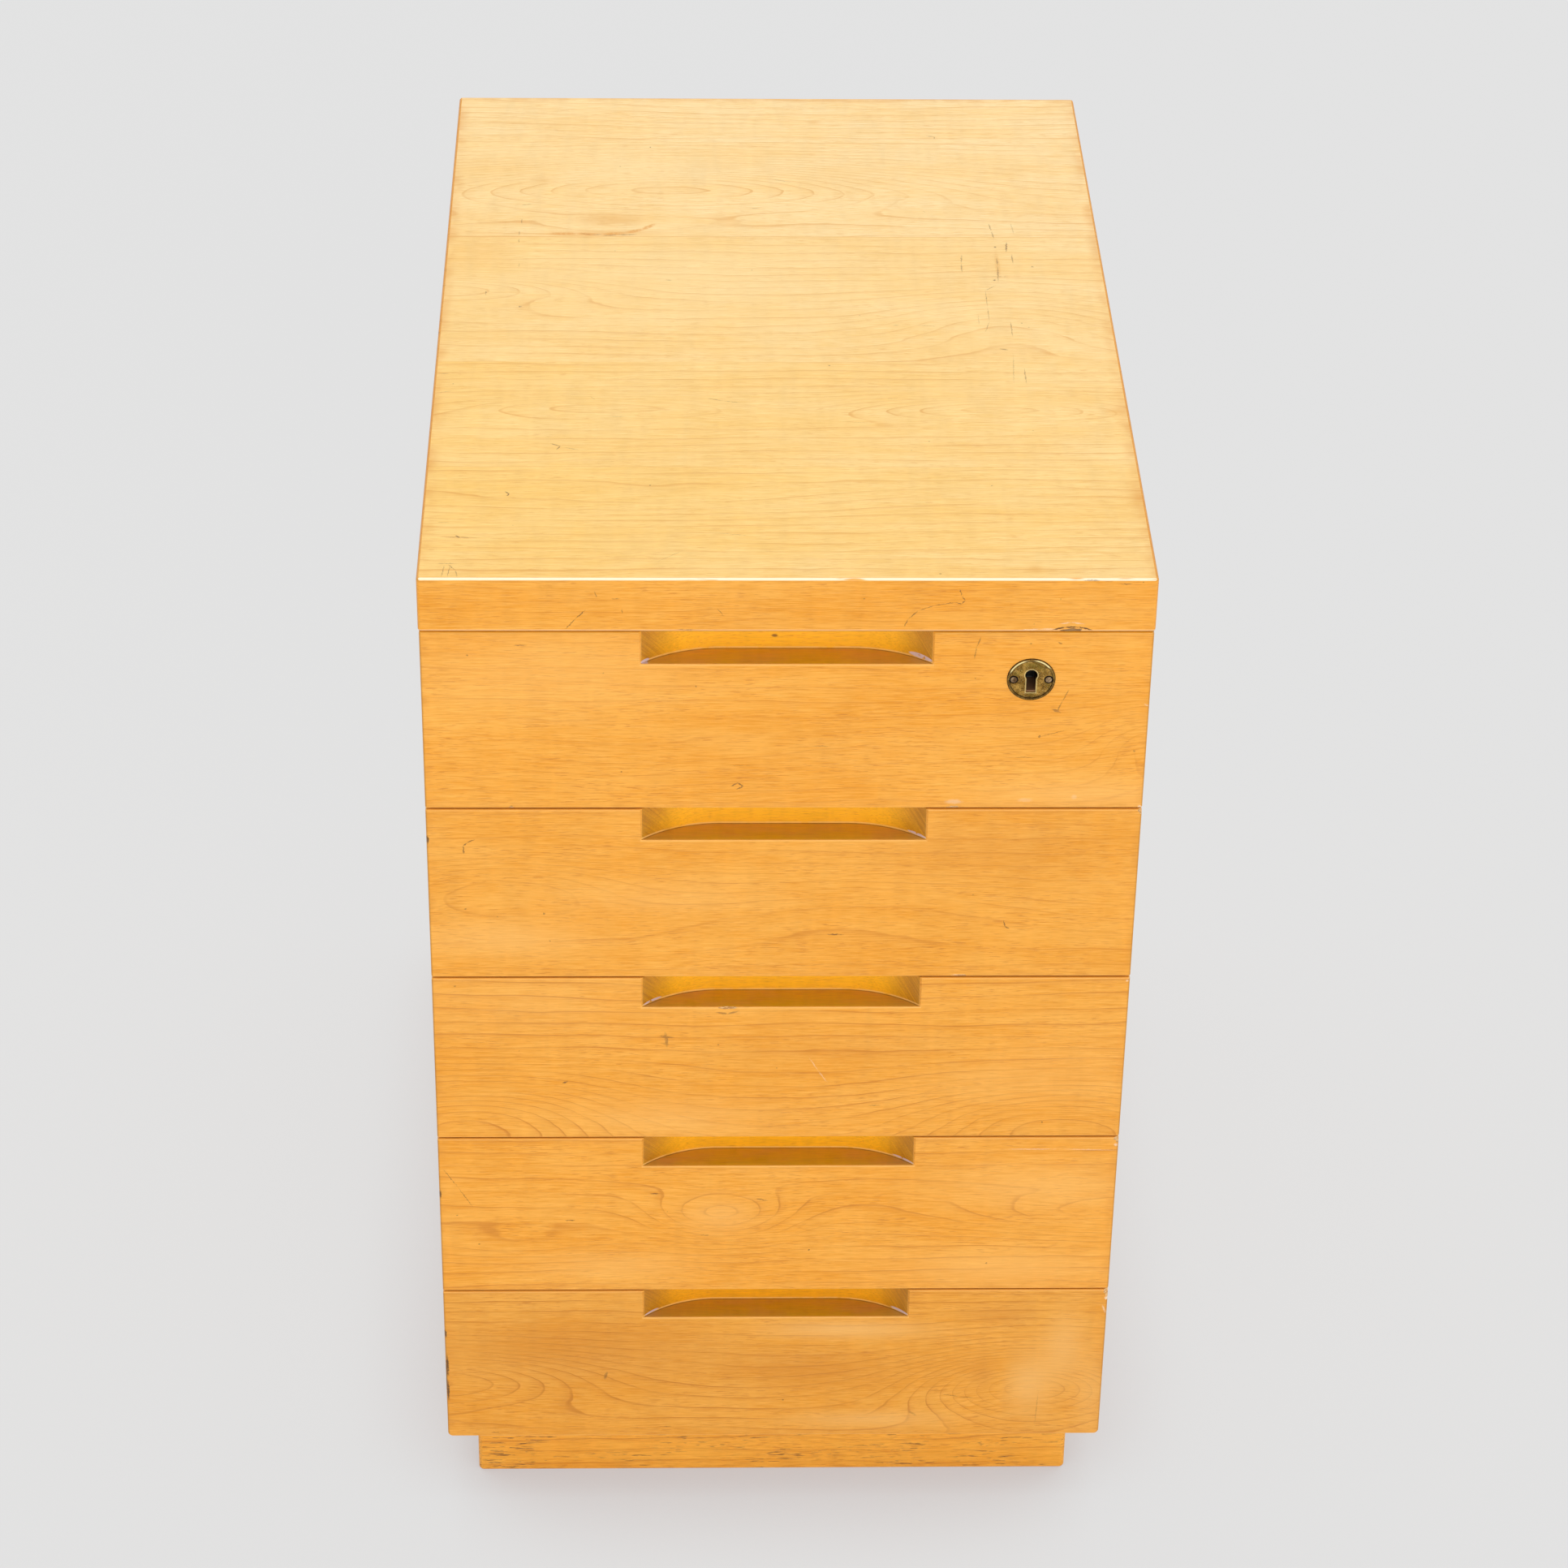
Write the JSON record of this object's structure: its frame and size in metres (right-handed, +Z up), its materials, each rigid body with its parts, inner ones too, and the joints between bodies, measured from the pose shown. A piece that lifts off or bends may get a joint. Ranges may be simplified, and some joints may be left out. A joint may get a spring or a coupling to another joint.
{
  "type": "drawer unit",
  "caption": "Wooden desk pedestal on a recessed plinth: thick top, sliding drawers with finger pulls milled into their upper edges, and a lock with a round brass keyhole plate.",
  "frame": {"origin": "on the floor, under the middle of the unit", "axes": "+Z up, -Y out of the drawer fronts, +X to the right seen from the front"},
  "size_m": [0.38, 0.58, 0.63],
  "materials": {
    "birch_top": "clear lacquer over pale birch, yellowed",
    "birch_front": "clear lacquer over birch, aged to orange",
    "birch_carcass": "clear lacquer over birch, aged to orange",
    "birch_plinth": "worn clear lacquer with scuffs",
    "birch_box": "thin clear lacquer",
    "plywood": "bare birch plywood",
    "bare_wood": "bare planed hardwood",
    "brass": "aged and speckled",
    "steel": "bright zinc, slightly dulled"
  },
  "bodies": {
    "carcass": {"top_panel": "birch_top", "side_panel_left": "birch_carcass", "side_panel_right": "birch_carcass", "back_panel": "birch_carcass", "bottom_panel": "plywood", "plinth_front": "birch_plinth", "plinth_back": "birch_plinth", "plinth_left": "birch_plinth", "plinth_right": "birch_plinth", "plinth_corner_blocks": "bare_wood", "carcass_dowels": "bare_wood", "back_panel_screws": "steel", "plinth_screws": "steel", "runner_screws": "steel", "strike_plate": "brass", "strike_screws": "brass", "runner_left_1": "bare_wood", "runner_right_1": "bare_wood", "runner_left_2": "bare_wood", "runner_right_2": "bare_wood", "runner_left_3": "bare_wood", "runner_right_3": "bare_wood", "runner_left_4": "bare_wood", "runner_right_4": "bare_wood", "runner_left_5": "bare_wood", "runner_right_5": "bare_wood"},
    "drawer_1": {"drawer_1_front": "birch_front", "drawer_1_side_left": "birch_box", "drawer_1_side_right": "birch_box", "drawer_1_back": "birch_box", "drawer_1_bottom": "plywood", "escutcheon": "brass", "escutcheon_screws": "brass", "lock_back_plate": "steel", "lock_case": "steel", "lock_screws": "steel"},
    "drawer_2": {"drawer_2_front": "birch_front", "drawer_2_side_left": "birch_box", "drawer_2_side_right": "birch_box", "drawer_2_back": "birch_box", "drawer_2_bottom": "plywood"},
    "drawer_3": {"drawer_3_front": "birch_front", "drawer_3_side_left": "birch_box", "drawer_3_side_right": "birch_box", "drawer_3_back": "birch_box", "drawer_3_bottom": "plywood"},
    "drawer_4": {"drawer_4_front": "birch_front", "drawer_4_side_left": "birch_box", "drawer_4_side_right": "birch_box", "drawer_4_back": "birch_box", "drawer_4_bottom": "plywood"},
    "drawer_5": {"drawer_5_front": "birch_front", "drawer_5_side_left": "birch_box", "drawer_5_side_right": "birch_box", "drawer_5_back": "birch_box", "drawer_5_bottom": "plywood"},
    "lock_bolt": {"lock_bolt": "brass"},
    "lock_lever": {"lock_lever": "brass", "lock_lever_spring": "steel"}
  },
  "joints": [
    {"name": "drawer_1_slide", "type": "slide", "parent": "carcass", "child": "drawer_1", "axis": [0, -1, 0], "range_m": [0, 0.4]},
    {"name": "drawer_2_slide", "type": "slide", "parent": "carcass", "child": "drawer_2", "axis": [0, -1, 0], "range_m": [0, 0.4]},
    {"name": "drawer_3_slide", "type": "slide", "parent": "carcass", "child": "drawer_3", "axis": [0, -1, 0], "range_m": [0, 0.4]},
    {"name": "drawer_4_slide", "type": "slide", "parent": "carcass", "child": "drawer_4", "axis": [0, -1, 0], "range_m": [0, 0.4]},
    {"name": "drawer_5_slide", "type": "slide", "parent": "carcass", "child": "drawer_5", "axis": [0, -1, 0], "range_m": [0, 0.4]},
    {"name": "lock_bolt_slide", "type": "slide", "parent": "drawer_1", "child": "lock_bolt", "axis": [0, 0, 1], "range_m": [0, 0.007]},
    {"name": "lock_lever_pivot", "type": "hinge", "parent": "drawer_1", "child": "lock_lever", "pos_m": [0.112, -0.27205, 0.5835], "axis": [0, -1, 0], "range_deg": [0, 8], "stiffness_Nm_per_rad": 0.02, "springref_deg": -5.73}
  ]
}
